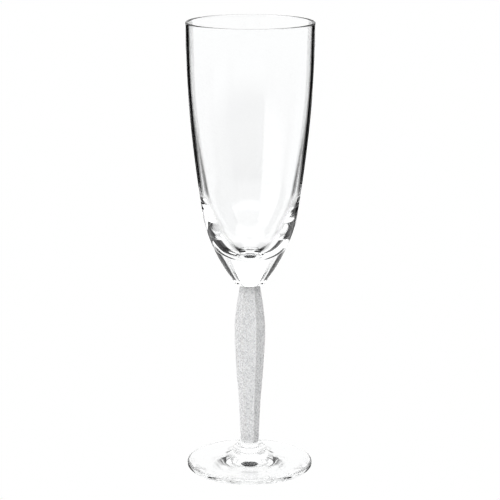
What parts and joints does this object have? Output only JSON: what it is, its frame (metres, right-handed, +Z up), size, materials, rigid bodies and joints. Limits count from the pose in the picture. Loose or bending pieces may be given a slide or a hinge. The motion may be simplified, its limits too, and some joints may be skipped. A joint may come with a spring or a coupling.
{
  "type": "champagne flute",
  "caption": "Tall champagne flute with a deep tapered bowl on a heavy clear base, a faceted frosted stem and a round foot.",
  "frame": {"origin": "centre of the foot, on the surface the glass stands on", "axes": "+Z up along the axis of the bowl and stem; a flat side of the stem faces -Y"},
  "size_m": [0.0672, 0.0672, 0.24],
  "materials": {
    "bowl_crystal": "fire-polished clear crystal",
    "collar_crystal": "fire-polished clear crystal",
    "frosted_crystal": "pressed crystal, stippled and acid-frosted",
    "button_crystal": "fire-polished clear crystal",
    "foot_crystal": "polished clear crystal, underside ground flat at the edge"
  },
  "bodies": {
    "root": {"bowl": "bowl_crystal", "collar": "collar_crystal", "stem": "frosted_crystal", "foot_button": "button_crystal", "foot": "foot_crystal"}
  },
  "joints": []
}
